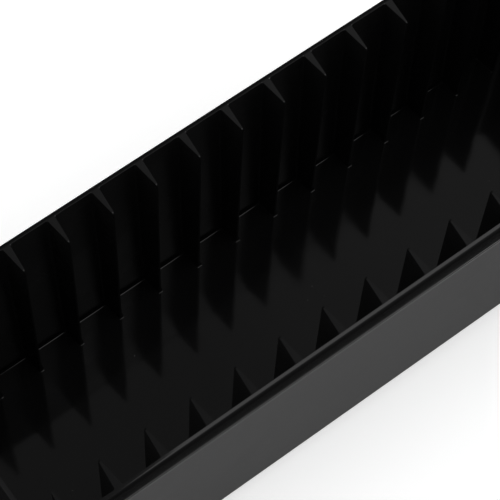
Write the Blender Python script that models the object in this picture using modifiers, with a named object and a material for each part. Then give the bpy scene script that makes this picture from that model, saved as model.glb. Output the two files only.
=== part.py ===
"""Card dealing shoe: a long ribbed trough on a wedge plinth, with a card mouth and a rolling weight.

The trough, nose and weight are laid out in the trough's own frame: X across, Y from the nose tip to the
rear, Z up from the inside of the floor. An empty tilts that frame, so that the weight rolls to the mouth.
"""

import math

import bmesh
import bpy
from mathutils import Matrix, Vector

MM = 0.001

# Playing cards, which set the clear width of the trough.
CARD_LENGTH = 88.9 * MM
CARD_PLAY = 1.7 * MM

# Trough moulding.
INNER_WIDTH_RIM = 120.0 * MM
TROUGH_DEPTH = 120.0 * MM
WALL_DRAFT = 3.6 * MM
WALL = 3.8 * MM
FLOOR = 3.0 * MM
FLOOR_FILLET = 1.2 * MM
BOTTOM_EDGE_ROUND = 1.2 * MM
CORNER_RADIUS = 10.0 * MM
LIP_HEIGHT = 13.5 * MM
LIP_STEP = 0.9 * MM
LIP_ROUND = 2.7 * MM
LIP_ROUND_STEPS = 4
RIB_PITCH = 24.0 * MM
RIB_COUNT = 18
FIRST_RIB = 43.2 * MM
RIB_BASE_RIM = 4.0 * MM
RIB_TIP_RIM = 0.8 * MM
RIB_TIP_FLOOR = 1.2 * MM
RIB_TO_REAR_WALL = 20.4 * MM
ARC_STEPS = 6

# Nose and mouth.
MOUTH_TO_TIP = 30.0 * MM
FACE_LEAN = math.radians(32.0)
FACEPLATE_THICKNESS = 3.0 * MM
FACEPLATE_RECESS = 1.0 * MM
FACEPLATE_TOP_MARGIN = 4.0 * MM
MOUTH_GAP = 1.8 * MM
FINGER_OPENING_WIDTH = 44.0 * MM
FINGER_OPENING_HEIGHT = 54.0 * MM
CHEEK_HEIGHT = 12.0 * MM
CHEEK_FRONT_RADIUS = 6.0 * MM
CHEEK_SWEEP_RADIUS = 26.0 * MM
SHOULDER_RADIUS = 12.0 * MM
FLANGE_THICKNESS = 4.0 * MM
FLANGE_INSET = 1.2 * MM
FACE_BOSS_RADIUS = 3.6 * MM
FACE_BOSS_LENGTH = 9.0 * MM
FACE_SCREW_INSET = 24.0 * MM
EXIT_PLATE_THICKNESS = 1.2 * MM
EXIT_PLATE_LENGTH = 22.0 * MM
EXIT_BOSS_RADIUS = 3.6 * MM
EXIT_BOSS_LENGTH = 2.0 * MM
NOTCH_RADIUS = 15.0 * MM
NOTCH_DEPTH = 10.0 * MM

# Plinth and feet.
TILT = math.radians(4.0)
NOSE_LIFT = 4.0 * MM
PLINTH_WIDTH = 100.0 * MM
PLINTH_WALL = 3.0 * MM
PLINTH_FRONT = 42.0 * MM
PLINTH_REAR_INSET = 10.0 * MM
PLINTH_PAD = 22.0 * MM
PLINTH_BOSS_RADIUS = 4.0 * MM
PLINTH_BOSS_LENGTH = 4.0 * MM
PLINTH_LUG = 14.0 * MM
PLINTH_LUG_THICKNESS = 3.0 * MM
PLINTH_RIBS = 3
FIRST_PLINTH_RIB = 128.0 * MM
PLINTH_RIB_SPACING = 122.0 * MM
FOOT_RADIUS = 7.0 * MM
FOOT_SHOWING = 2.5 * MM
FOOT_SUNK = 1.5 * MM
FOOT_ROUND = 0.8 * MM

# Rolling weight.
WEIGHT_SIDE_PLAY = 1.3 * MM
WEIGHT_LENGTH = 70.0 * MM
WEIGHT_HEIGHT = 70.0 * MM
WEIGHT_GROUND_GAP = 3.0 * MM
WEIGHT_WALL = 2.5 * MM
WEIGHT_EDGE_ROUND = 1.4 * MM
WEIGHT_STOP_GAP = 0.5 * MM
GRIP_WIDTH = 52.0 * MM
GRIP_HEIGHT = 13.0 * MM
GRIP_THICKNESS = 8.0 * MM
CHASSIS_THICKNESS = 3.0 * MM
CHASSIS_LIFT = 1.0 * MM
CHASSIS_BOSS = 7.0 * MM
CHASSIS_BOSS_OFFSET = 13.0 * MM
SLUG_HEIGHT = 41.0 * MM
SLUG_EDGE_ROUND = 0.8 * MM
ROLLER_RADIUS = 9.0 * MM
ROLLER_WIDTH = 7.0 * MM
ROLLER_HUB_RADIUS = 4.6 * MM
ROLLER_DISH = 1.0 * MM
ROLLER_ROUND = 0.9 * MM
ROLLER_SIDE_GAP = 0.8 * MM
EAR_THICKNESS = 2.6 * MM
EAR_LENGTH = 10.0 * MM
AXLE_RADIUS = 2.0 * MM
AXLE_FROM_FACE = 13.6 * MM
AXLE_FROM_REAR = 14.5 * MM

# Fasteners, and the clearance that assembled pieces keep.
SCREW_RADIUS = 1.2 * MM
SCREW_HEAD_RADIUS = 2.8 * MM
SCREW_HEAD_HEIGHT = 1.8 * MM
SCREW_LENGTH = 8.0 * MM
SHORT_SCREW_LENGTH = 7.0 * MM
EXIT_SCREW_LENGTH = 4.0 * MM
FIT = 0.3 * MM
CUT_MARGIN = 5.0 * MM
ROUND_STEPS = 32
SMALL_ROUND_STEPS = 16
DOME_STEPS = 4
SMOOTH_ANGLE = 40.0
BEVEL_ANGLE = 30.0
MERGE_DISTANCE = 0.00001

# Worked out from the sizes above.
TIP_HALF = (CARD_LENGTH + CARD_PLAY) / 2
RIB_FLANK_SLOPE = (RIB_BASE_RIM - RIB_TIP_RIM) / (INNER_WIDTH_RIM - 2 * TIP_HALF)
SCREW_HOLE_RADIUS = SCREW_RADIUS + FIT
LAST_RIB = FIRST_RIB + (RIB_COUNT - 1) * RIB_PITCH
REAR_WALL = LAST_RIB + RIB_TO_REAR_WALL
LEAN_TAN = math.tan(FACE_LEAN)
LEAN_COS = math.cos(FACE_LEAN)
LEAN_SIN = math.sin(FACE_LEAN)
WEIGHT_HALF = TIP_HALF - WEIGHT_SIDE_PLAY
WEIGHT_FRONT = MOUTH_TO_TIP + WEIGHT_STOP_GAP
WEIGHT_REAR = WEIGHT_FRONT + WEIGHT_LENGTH
AXLE_HEIGHT = ROLLER_RADIUS + FIT
FRONT_AXLE = WEIGHT_FRONT + AXLE_HEIGHT * LEAN_TAN + AXLE_FROM_FACE / LEAN_COS
REAR_AXLE = WEIGHT_REAR - AXLE_FROM_REAR
CHASSIS_BOTTOM = WEIGHT_GROUND_GAP + CHASSIS_LIFT
CHASSIS_TOP = CHASSIS_BOTTOM + CHASSIS_THICKNESS
CHASSIS_HALF = WEIGHT_HALF - WEIGHT_WALL - FIT
ROLLER_CENTRE = CHASSIS_HALF - EAR_THICKNESS - ROLLER_SIDE_GAP - ROLLER_WIDTH / 2
EAR_TOP = AXLE_HEIGHT + ROLLER_RADIUS + 3 * FIT
FRAME_HEIGHT = NOSE_LIFT + FLOOR * math.cos(TILT)
FACEPLATE_TOP = (TROUGH_DEPTH - FACEPLATE_TOP_MARGIN) / LEAN_COS


def inner_half(z):
    """Half the inside width of the drafted trough at height z."""
    return INNER_WIDTH_RIM / 2 - WALL_DRAFT * (1 - z / TROUGH_DEPTH)


def rear_inner(z):
    """Inside face of the drafted rear wall at height z."""
    return REAR_WALL + WALL_DRAFT * z / TROUGH_DEPTH


def face_inner(z):
    """Rear side of the leaning faceplate at height z."""
    return MOUTH_TO_TIP + z * LEAN_TAN


# ---------------------------------------------------------------- modelling helpers


def clear_scene():
    for item in list(bpy.data.objects):
        bpy.data.objects.remove(item, do_unlink=True)


def new_collection(name):
    collection = bpy.data.collections.new(name)
    bpy.context.scene.collection.children.link(collection)
    return collection


def new_material(name, colour, roughness, metallic):
    material = bpy.data.materials.new(name)
    material.use_nodes = True
    shader = material.node_tree.nodes["Principled BSDF"]
    shader.inputs["Base Color"].default_value = (*colour, 1.0)
    shader.inputs["Roughness"].default_value = roughness
    shader.inputs["Metallic"].default_value = metallic
    return material


def finish_mesh(mesh, bm):
    """Write a bmesh to a mesh with welded points and outward faces."""
    bmesh.ops.remove_doubles(bm, verts=bm.verts, dist=MERGE_DISTANCE)
    bmesh.ops.recalc_face_normals(bm, faces=bm.faces)
    bm.to_mesh(mesh)
    bm.free()
    return mesh


def solid(name, mesh):
    """An object for a mesh, kept with the cutters until keep() gives it a material and a place."""
    item = bpy.data.objects.new(name, mesh)
    CUTTERS.objects.link(item)
    item.hide_render = True
    item.display_type = "WIRE"
    item.parent = TROUGH_FRAME
    return item


def keep(item, material, smooth_angle=None):
    """Make a solid one of the shoe's own pieces."""
    CUTTERS.objects.unlink(item)
    SHOE.objects.link(item)
    item.hide_render = False
    item.display_type = "SOLID"
    item.data.materials.append(material)
    if smooth_angle is not None:
        item.data.shade_smooth()
        item.data.set_sharp_from_angle(angle=math.radians(smooth_angle))
    return item


def loft(name, sections):
    """A closed solid through rings of 3-D points that all have the same count. Its walls are triangles,
    because a wall that tapers and twists has no flat four-sided faces."""
    bm = bmesh.new()
    rings = [[bm.verts.new(point) for point in section] for section in sections]
    count = len(rings[0])
    walls = []
    for low, high in zip(rings, rings[1:]):
        for i in range(count):
            j = (i + 1) % count
            walls.append(bm.faces.new((low[i], low[j], high[j], high[i])))
    bmesh.ops.triangulate(bm, faces=walls)
    bm.faces.new(rings[0])
    bm.faces.new(rings[-1])
    return solid(name, finish_mesh(bpy.data.meshes.new(name), bm))


def box(name, low, high):
    """A box between two corners."""
    bm = bmesh.new()
    bmesh.ops.create_cube(bm, size=1.0)
    size = Vector(high) - Vector(low)
    middle = (Vector(high) + Vector(low)) / 2
    placed = Matrix.Translation(middle) @ Matrix.Diagonal((*size, 1.0))
    bmesh.ops.transform(bm, matrix=placed, verts=bm.verts)
    return solid(name, finish_mesh(bpy.data.meshes.new(name), bm))


def rod(name, radius, start, end, steps=SMALL_ROUND_STEPS):
    """A round bar from one point to another."""
    start, end = Vector(start), Vector(end)
    turn = (end - start).to_track_quat("Z", "Y").to_matrix().to_4x4()
    bm = bmesh.new()
    bmesh.ops.create_cone(
        bm, cap_ends=True, segments=steps, radius1=radius, radius2=radius, depth=(end - start).length
    )
    bmesh.ops.transform(bm, matrix=Matrix.Translation((start + end) / 2) @ turn, verts=bm.verts)
    return solid(name, finish_mesh(bpy.data.meshes.new(name), bm))


def flat_outline(name, outlines, thickness):
    """Flat outlines in XY, the first one outside and the rest holes, extruded evenly about Z = 0."""
    curve = bpy.data.curves.new(name, "CURVE")
    curve.dimensions = "2D"
    curve.fill_mode = "BOTH"
    curve.extrude = thickness / 2
    for outline in outlines:
        spline = curve.splines.new("POLY")
        spline.points.add(len(outline) - 1)
        for point, (x, y) in zip(spline.points, outline):
            point.co = (x, y, 0.0, 1.0)
        spline.use_cyclic_u = True
    drawn = bpy.data.objects.new(name + "_outline", curve)
    CUTTERS.objects.link(drawn)
    bpy.context.view_layer.update()
    evaluated = drawn.evaluated_get(bpy.context.evaluated_depsgraph_get())
    mesh = bpy.data.meshes.new_from_object(evaluated)
    bpy.data.objects.remove(drawn, do_unlink=True)
    bm = bmesh.new()
    bm.from_mesh(mesh)
    return solid(name, finish_mesh(mesh, bm))


def side_profile(name, outline, low_x, high_x):
    """An outline of (y, z) points, extruded across the shoe from low_x to high_x."""
    item = flat_outline(name, [outline], high_x - low_x)
    across = Matrix(((0, 0, 1, (low_x + high_x) / 2), (1, 0, 0, 0), (0, 1, 0, 0), (0, 0, 0, 1)))
    item.data.transform(across)
    return item


def turned(name, profile, steps):
    """A profile of (radius, z) points, from top to bottom on its outer side, turned round Z."""
    bm = bmesh.new()
    points = [bm.verts.new((radius, 0.0, z)) for radius, z in profile]
    for a, b in zip(points, points[1:]):
        bm.edges.new((a, b))
    mesh = bpy.data.meshes.new(name)
    bm.to_mesh(mesh)
    bm.free()
    item = solid(name, mesh)
    screw = item.modifiers.new("turn", "SCREW")
    screw.steps = screw.render_steps = steps
    screw.use_merge_vertices = True
    screw.merge_threshold = MERGE_DISTANCE
    return item


def boolean(item, operation, tools):
    """Cut tools from a solid, or join them on, in one operation."""
    group = bpy.data.collections.new(f"{item.name}_{operation.lower()}")
    group.hide_render = True
    CUTTERS.children.link(group)
    for tool in tools:
        CUTTERS.objects.unlink(tool)
        group.objects.link(tool)
    modifier = item.modifiers.new(group.name, "BOOLEAN")
    modifier.operation = operation
    modifier.solver = "EXACT"
    modifier.operand_type = "COLLECTION"
    modifier.collection = group


def bevel(item, width, segments, angle=BEVEL_ANGLE):
    """Round the edges of a solid that turn by more than an angle."""
    modifier = item.modifiers.new("round", "BEVEL")
    modifier.width = width
    modifier.segments = segments
    modifier.limit_method = "ANGLE"
    modifier.angle_limit = math.radians(angle)


def arc(centre, radius, start, end, steps=ARC_STEPS):
    """Points on an arc, by angles in degrees."""
    angles = [math.radians(start + (end - start) * i / steps) for i in range(steps + 1)]
    return [(centre[0] + radius * math.cos(a), centre[1] + radius * math.sin(a)) for a in angles]


# ---------------------------------------------------------------- trough moulding


def trough_outline(half, front, rear, corner, ribs=None):
    """Plan outline with square front and rounded rear corners. ribs holds half the width of a rib's base, the
    tip's distance from the middle and half the width of the tip."""
    side = [(half, front)]
    if ribs:
        half_base, tip_half, half_tip = ribs
        for i in range(RIB_COUNT):
            y = FIRST_RIB + i * RIB_PITCH
            side += [(half, y - half_base), (tip_half, y - half_tip)]
            side += [(tip_half, y + half_tip), (half, y + half_base)]
    side += arc((half - corner, rear - corner), corner, 0, 90)
    return side + [(-x, y) for x, y in reversed(side)]


def at_height(outline, z):
    return [(x, y, z) for x, y in outline]


def outer_section(z, inset=0.0):
    """Outer outline of the moulding at height z, inset for the lip and the rounded bottom edge."""
    half = inner_half(z) + WALL - inset
    return at_height(trough_outline(half, inset, rear_inner(z) + WALL - inset, CORNER_RADIUS), z)


def cavity_section(z, inset=0.0):
    """Inner outline at height z, with V ribs whose tips widen towards the floor but whose flanks are flat."""
    half = inner_half(z) - inset
    tip = TIP_HALF - inset / 2
    half_tip = (RIB_TIP_FLOOR + (RIB_TIP_RIM - RIB_TIP_FLOOR) * z / TROUGH_DEPTH + inset) / 2
    half_base = half_tip + RIB_FLANK_SLOPE * (half - tip)
    corner = CORNER_RADIUS - WALL
    outline = trough_outline(half, -CUT_MARGIN, rear_inner(z) - inset, corner, (half_base, tip, half_tip))
    return at_height(outline, z)


def nose_outline():
    """Side profile of what is cut away in front of the leaning edge and above the cheeks."""
    edge_offset = (FACEPLATE_THICKNESS + FACEPLATE_RECESS) / LEAN_COS
    foot = MOUTH_TO_TIP - edge_offset
    lean_angle = 90 - math.degrees(FACE_LEAN)
    sweep = CHEEK_SWEEP_RADIUS
    sweep_y = foot + (CHEEK_HEIGHT + sweep) * LEAN_TAN - sweep / LEAN_COS
    shoulder = SHOULDER_RADIUS
    shoulder_z = TROUGH_DEPTH - shoulder
    shoulder_y = foot + shoulder_z * LEAN_TAN + shoulder / LEAN_COS
    front = CHEEK_FRONT_RADIUS
    outline = [(-CUT_MARGIN, CHEEK_HEIGHT - front), (0.0, CHEEK_HEIGHT - front)]
    outline += arc((front, CHEEK_HEIGHT - front), front, 180, 90)[1:]
    outline += arc((sweep_y, CHEEK_HEIGHT + sweep), sweep, -90, lean_angle - 90)
    outline += arc((shoulder_y, shoulder_z), shoulder, 90 + lean_angle, 90)
    outline += [(shoulder_y, TROUGH_DEPTH + CUT_MARGIN), (-CUT_MARGIN, TROUGH_DEPTH + CUT_MARGIN)]
    return outline


def face_point(x, slope, depth):
    """A point up the leaning face, at a distance behind the faceplate's rear side."""
    y = MOUTH_TO_TIP + slope * LEAN_SIN + depth * LEAN_COS
    z = slope * LEAN_COS - depth * LEAN_SIN
    return (x, y, z)


def face_screw_spots():
    """(x, slope) of the screws that hold the faceplate on its flanges."""
    spots = []
    for slope in (FACE_SCREW_INSET, FACEPLATE_TOP - FACE_SCREW_INSET):
        x = (TIP_HALF + FLANGE_INSET + inner_half(slope * LEAN_COS)) / 2
        spots += [(-x, slope), (x, slope)]
    return spots


def plinth_screw_spots():
    """(x, y) of the screws that hold the plinth under the trough."""
    x = PLINTH_WIDTH / 2 - PLINTH_WALL - PLINTH_LUG
    spots = []
    for i in range(PLINTH_RIBS):
        y = FIRST_PLINTH_RIB + i * PLINTH_RIB_SPACING + PLINTH_WALL / 2 + PLINTH_LUG / 2
        spots += [(-x, y), (x, y)]
    return spots


def seat_flange(side):
    """The leaning flange on one side wall that the faceplate lies on."""
    thickness = FLANGE_THICKNESS / LEAN_COS
    rings = []
    for z in (FLOOR_FILLET, TROUGH_DEPTH - FACEPLATE_TOP_MARGIN):
        inner = side * (TIP_HALF + FLANGE_INSET)
        outer = side * (inner_half(z) + WALL / 2)
        y = face_inner(z)
        rings.append([(inner, y, z), (outer, y, z), (outer, y + thickness, z), (inner, y + thickness, z)])
    return loft(f"flange_{'left' if side < 0 else 'right'}", rings)


def faceplate_seat():
    """The leaning slot between the side walls that is cleared of ribs for the faceplate."""
    depth = (FACEPLATE_THICKNESS + FACEPLATE_RECESS) / LEAN_COS + FIT
    rings = []
    for z in (MOUTH_GAP - FIT, TROUGH_DEPTH + CUT_MARGIN):
        half = inner_half(z)
        y = face_inner(z)
        rings.append([(-half, y - depth, z), (half, y - depth, z), (half, y, z), (-half, y, z)])
    return loft("faceplate_seat", rings)


def make_tub(material):
    top = TROUGH_DEPTH
    ledge = top - LIP_HEIGHT
    rim = arc((LIP_STEP + LIP_ROUND, top - LIP_ROUND), LIP_ROUND, 180, 90, LIP_ROUND_STEPS)
    tub = loft(
        "tub",
        [
            outer_section(-FLOOR, BOTTOM_EDGE_ROUND),
            outer_section(-FLOOR + BOTTOM_EDGE_ROUND),
            outer_section(ledge),
            outer_section(ledge, LIP_STEP),
            *[outer_section(z, inset) for inset, z in rim],
        ],
    )
    cavity = loft(
        "trough_cavity",
        [cavity_section(0.0, FLOOR_FILLET), cavity_section(FLOOR_FILLET), cavity_section(top + CUT_MARGIN)],
    )
    boolean(tub, "DIFFERENCE", [cavity])
    joined = [seat_flange(-1), seat_flange(1)]
    half = inner_half(top) + WALL + CUT_MARGIN
    cut = [side_profile("nose_cut", nose_outline(), -half, half), faceplate_seat(), exit_plate_seat()]
    cut.append(finger_notch("tub_finger_notch", NOTCH_RADIUS - FIT))
    for i, (x, slope) in enumerate(face_screw_spots()):
        root = face_point(x, slope, FLANGE_THICKNESS / 2)
        end = face_point(x, slope, FACE_BOSS_LENGTH)
        joined.append(rod(f"face_boss_{i}", FACE_BOSS_RADIUS, root, end))
        mouth = face_point(x, slope, -CUT_MARGIN)
        hole_end = face_point(x, slope, SCREW_LENGTH - FACEPLATE_THICKNESS + FIT)
        cut.append(rod(f"face_screw_hole_{i}", SCREW_HOLE_RADIUS, mouth, hole_end))
    for i, (x, y) in enumerate(plinth_screw_spots()):
        boss_end = -FLOOR - PLINTH_BOSS_LENGTH
        joined.append(rod(f"plinth_boss_{i}", PLINTH_BOSS_RADIUS, (x, y, -FLOOR / 2), (x, y, boss_end)))
        hole_end = boss_end + SHORT_SCREW_LENGTH - PLINTH_LUG_THICKNESS
        hole_start = boss_end - CUT_MARGIN
        cut.append(rod(f"plinth_screw_hole_{i}", SCREW_HOLE_RADIUS, (x, y, hole_start), (x, y, hole_end)))
    for i, (x, y) in enumerate(exit_screw_spots()):
        boss_end = -FLOOR - EXIT_BOSS_LENGTH
        joined.append(rod(f"exit_boss_{i}", EXIT_BOSS_RADIUS, (x, y, -FLOOR / 2), (x, y, boss_end)))
        hole_end = -EXIT_SCREW_LENGTH
        cut.append(rod(f"exit_screw_hole_{i}", SCREW_HOLE_RADIUS, (x, y, hole_end), (x, y, CUT_MARGIN)))
    boolean(tub, "UNION", joined)
    boolean(tub, "DIFFERENCE", cut)
    return keep(tub, material)


def exit_plate_seat():
    """The shallow recess in the nose floor that the exit plate lies in."""
    half = inner_half(0.0) - FLOOR_FILLET
    low = (-half, -CUT_MARGIN, -EXIT_PLATE_THICKNESS - FIT)
    return box("exit_plate_seat", low, (half, EXIT_PLATE_LENGTH + 2 * FIT, CUT_MARGIN))


def exit_screw_spots():
    """(x, y) of the screws that hold the exit plate on the nose floor."""
    x = inner_half(0.0) - FLOOR_FILLET - 3 * SCREW_HEAD_RADIUS
    return [(-x, EXIT_PLATE_LENGTH / 2), (x, EXIT_PLATE_LENGTH / 2)]


def finger_notch(name, radius):
    """The round bite out of the nose tip."""
    y = NOTCH_DEPTH - radius
    return rod(name, radius, (0.0, y, -CUT_MARGIN - FLOOR), (0.0, y, CUT_MARGIN), ROUND_STEPS)


def make_exit_plate(material):
    """The smooth plate in the nose that a card slides over, with the same bite for a finger."""
    half = inner_half(0.0) - FLOOR_FILLET - FIT
    plate = box("exit_plate", (-half, FIT, -EXIT_PLATE_THICKNESS), (half, EXIT_PLATE_LENGTH + FIT, 0.0))
    cut = [finger_notch("plate_finger_notch", NOTCH_RADIUS)]
    for i, (x, y) in enumerate(exit_screw_spots()):
        cut.append(rod(f"exit_hole_{i}", SCREW_HOLE_RADIUS, (x, y, -CUT_MARGIN), (x, y, CUT_MARGIN)))
    boolean(plate, "DIFFERENCE", cut)
    return keep(plate, material)


# ---------------------------------------------------------------- faceplate


def make_faceplate(material):
    """The leaning plate that the first card stands against, open at the bottom for a finger."""
    low = MOUTH_GAP / LEAN_COS
    high = FACEPLATE_TOP
    low_half = inner_half(MOUTH_GAP) - 2 * FIT
    high_half = inner_half(TROUGH_DEPTH - FACEPLATE_TOP_MARGIN) - 2 * FIT
    half = FINGER_OPENING_WIDTH / 2
    arc_centre = low + FINGER_OPENING_HEIGHT - half
    outline = [(-low_half, low), (-half, low)]
    outline += arc((0.0, arc_centre), half, 180, 0, 2 * ARC_STEPS)
    outline += [(half, low), (low_half, low)]
    outline += [(high_half, high), (-high_half, high)]
    holes = [
        arc((x, slope), SCREW_HOLE_RADIUS, 0, 360, SMALL_ROUND_STEPS)[:-1] for x, slope in face_screw_spots()
    ]
    plate = flat_outline("faceplate", [outline, *holes], FACEPLATE_THICKNESS)
    plate.location = face_point(0.0, 0.0, -FACEPLATE_THICKNESS / 2 - FIT)
    plate.rotation_euler = (math.pi / 2 - FACE_LEAN, 0.0, 0.0)
    return keep(plate, material)


# ---------------------------------------------------------------- fasteners


def pan_screw(name, length):
    """A domed screw whose head seats at Z = 0, with its shank down -Z."""
    dome = [(SCREW_HEAD_RADIUS * c, SCREW_HEAD_HEIGHT * s) for c, s in arc((0.0, 0.0), 1.0, 90, 0, DOME_STEPS)]
    dome[0] = (0.0, SCREW_HEAD_HEIGHT)
    profile = dome + [(SCREW_RADIUS, 0.0), (SCREW_RADIUS, -length), (0.0, -length)]
    return turned(name, profile, SMALL_ROUND_STEPS)


def fit_screws(name, length, places, outward, material):
    """One screw for each place, with its head facing outward. Returns the screws."""
    turn = Vector(outward).to_track_quat("Z", "Y").to_euler()
    screws = []
    for number, place in enumerate(places, start=1):
        screw = pan_screw(f"{name}_{number}", length)
        screw.location = place
        screw.rotation_euler = turn
        screws.append(keep(screw, material, SMOOTH_ANGLE))
    return screws


def make_face_screws(material):
    places = [face_point(x, slope, -FACEPLATE_THICKNESS - 2 * FIT) for x, slope in face_screw_spots()]
    return fit_screws("face_screw", SCREW_LENGTH, places, (0.0, -LEAN_COS, LEAN_SIN), material)


def make_exit_screws(material):
    places = [(x, y, FIT) for x, y in exit_screw_spots()]
    return fit_screws("exit_screw", EXIT_SCREW_LENGTH, places, (0.0, 0.0, 1.0), material)


def make_plinth_screws(material):
    z = -FLOOR - PLINTH_BOSS_LENGTH - FIT - PLINTH_LUG_THICKNESS - FIT
    places = [(x, y, z) for x, y in plinth_screw_spots()]
    return fit_screws("plinth_screw", SHORT_SCREW_LENGTH, places, (0.0, 0.0, -1.0), material)


# ---------------------------------------------------------------- plinth and feet


def level(y, height):
    """Trough-frame height of the point at y that stands at a level height over the table."""
    return (height - FRAME_HEIGHT - y * math.sin(TILT)) / math.cos(TILT)


def plinth_rear():
    return rear_inner(-FLOOR) + WALL - PLINTH_REAR_INSET


def wedge(name, front, rear, half, low_gap, high):
    """A wedge between two trough-frame stations, with a level bottom."""
    outline = [(front, level(front, low_gap)), (rear, level(rear, low_gap)), (rear, high), (front, high)]
    return side_profile(name, outline, -half, half)


def foot_spots():
    """World (x, y) of the four feet."""
    x = PLINTH_WIDTH / 2 - PLINTH_PAD / 2
    front = (PLINTH_FRONT + PLINTH_PAD / 2) * math.cos(TILT)
    rear = (plinth_rear() - PLINTH_PAD / 2) * math.cos(TILT)
    spots = {}
    for end, y in (("front", front), ("rear", rear)):
        spots[f"{end}_left"] = (-x, y)
        spots[f"{end}_right"] = (x, y)
    return spots


def make_plinth(material):
    """An open wedge frame that tilts the trough, with ribs across it and lugs for its screws."""
    top = -FLOOR - FIT
    rear = plinth_rear()
    half = PLINTH_WIDTH / 2
    plinth = wedge("plinth", PLINTH_FRONT, rear, half, FOOT_SHOWING, top)
    stations = [FIRST_PLINTH_RIB + i * PLINTH_RIB_SPACING for i in range(PLINTH_RIBS)]
    fronts = [PLINTH_FRONT + PLINTH_PAD] + [y + PLINTH_WALL / 2 for y in stations]
    rears = [y - PLINTH_WALL / 2 for y in stations] + [rear - PLINTH_PAD]
    inside = half - PLINTH_WALL
    bays = []
    for i, (front, back) in enumerate(zip(fronts, rears)):
        bays.append(wedge(f"bay_{i}", front, back, inside, -CUT_MARGIN, CUT_MARGIN))
    boolean(plinth, "DIFFERENCE", bays)
    lugs, holes = [], []
    lug_top = -FLOOR - PLINTH_BOSS_LENGTH - FIT
    lug_low = lug_top - PLINTH_LUG_THICKNESS
    for i, (x, y) in enumerate(plinth_screw_spots()):
        reach = PLINTH_LUG / 2
        wall_x = math.copysign(half - PLINTH_WALL / 2, x)
        low_x, high_x = sorted((wall_x, x - math.copysign(reach, x)))
        low_y = y - reach - PLINTH_WALL / 2
        lugs.append(box(f"lug_{i}", (low_x, low_y, lug_low), (high_x, y + reach, lug_top)))
        holes.append(rod(f"lug_hole_{i}", SCREW_HOLE_RADIUS, (x, y, lug_low - FIT), (x, y, lug_top + FIT)))
    for corner, (x, y) in foot_spots().items():
        seat_top = (x, y, FOOT_SHOWING + FOOT_SUNK + FIT)
        seat = rod(f"foot_seat_{corner}", FOOT_RADIUS + FIT, (x, y, 0.0), seat_top, ROUND_STEPS)
        seat.parent = SHOE_FRAME
        holes.append(seat)
    boolean(plinth, "UNION", lugs)
    boolean(plinth, "DIFFERENCE", holes)
    return keep(plinth, material)


def make_feet(material):
    height = FOOT_SHOWING + FOOT_SUNK
    for corner, (x, y) in foot_spots().items():
        profile = [(0.0, height), (FOOT_RADIUS, height), (FOOT_RADIUS, FOOT_ROUND)]
        profile += [(FOOT_RADIUS - FOOT_ROUND, 0.0), (0.0, 0.0)]
        foot = turned(f"foot_{corner}", profile, ROUND_STEPS)
        foot.parent = SHOE_FRAME
        foot.location = (x, y, 0.0)
        keep(foot, material, SMOOTH_ANGLE)


# ---------------------------------------------------------------- rolling weight


def weight_front(z, inset=0.0):
    """Leaning front of the weight at height z, inset square to its face."""
    return WEIGHT_FRONT + z * LEAN_TAN + inset / LEAN_COS


def weight_outline(low, high, inset):
    """Side profile of the weight between two heights, inset from its leaning front and its rear."""
    rear = WEIGHT_REAR - inset
    return [(weight_front(low, inset), low), (rear, low), (rear, high), (weight_front(high, inset), high)]


def chassis_boss_spots():
    """(x, y) of the screws that close the weight."""
    front = weight_front(CHASSIS_TOP, WEIGHT_WALL) + CHASSIS_BOSS
    rear = WEIGHT_REAR - WEIGHT_WALL - CHASSIS_BOSS / 2
    return [(side * CHASSIS_BOSS_OFFSET, y) for y in (front, rear) for side in (-1, 1)]


def make_weight_housing(material):
    """The hollow wedge that pushes the cards, with a finger bar on top."""
    outline = weight_outline(WEIGHT_GROUND_GAP, WEIGHT_HEIGHT, 0.0)
    housing = side_profile("weight_housing", outline, -WEIGHT_HALF, WEIGHT_HALF)
    bevel(housing, WEIGHT_EDGE_ROUND, 2)
    grip_y = WEIGHT_REAR - GRIP_THICKNESS
    half = GRIP_THICKNESS / 2
    grip = [(grip_y + half, WEIGHT_HEIGHT - WEIGHT_WALL / 2)]
    grip += arc((grip_y, WEIGHT_HEIGHT + GRIP_HEIGHT - half), half, 0, 180)
    grip += [(grip_y - half, WEIGHT_HEIGHT - WEIGHT_WALL / 2)]
    boolean(housing, "UNION", [side_profile("grip", grip, -GRIP_WIDTH / 2, GRIP_WIDTH / 2)])
    inner = weight_outline(WEIGHT_GROUND_GAP - CUT_MARGIN, WEIGHT_HEIGHT - WEIGHT_WALL, WEIGHT_WALL)
    hollow = side_profile("weight_hollow", inner, -WEIGHT_HALF + WEIGHT_WALL, WEIGHT_HALF - WEIGHT_WALL)
    boolean(housing, "DIFFERENCE", [hollow])
    bosses, holes = [], []
    low = CHASSIS_TOP + FIT
    high = EAR_TOP - FIT
    reach = CHASSIS_BOSS / 2
    for i, (x, y) in enumerate(chassis_boss_spots()):
        at_front = y < (FRONT_AXLE + REAR_AXLE) / 2
        wall = weight_front(low, WEIGHT_WALL / 2) if at_front else WEIGHT_REAR - WEIGHT_WALL / 2
        inside = y + reach if at_front else y - reach
        near, far = sorted((wall, inside))
        boss = [(near, low), (far, low), (far, high), (near, high)]
        if at_front:
            boss[-1] = (weight_front(high, WEIGHT_WALL / 2), high)
        bosses.append(side_profile(f"chassis_boss_{i}", boss, x - reach, x + reach))
        hole_end = (x, y, high - WEIGHT_WALL)
        holes.append(rod(f"chassis_boss_hole_{i}", SCREW_HOLE_RADIUS, (x, y, low - FIT), hole_end))
    boolean(housing, "UNION", bosses)
    boolean(housing, "DIFFERENCE", holes)
    return keep(housing, material)


def roller_spots():
    return {
        "front_left": (-ROLLER_CENTRE, FRONT_AXLE),
        "front_right": (ROLLER_CENTRE, FRONT_AXLE),
        "rear_left": (-ROLLER_CENTRE, REAR_AXLE),
        "rear_right": (ROLLER_CENTRE, REAR_AXLE),
    }


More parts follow.
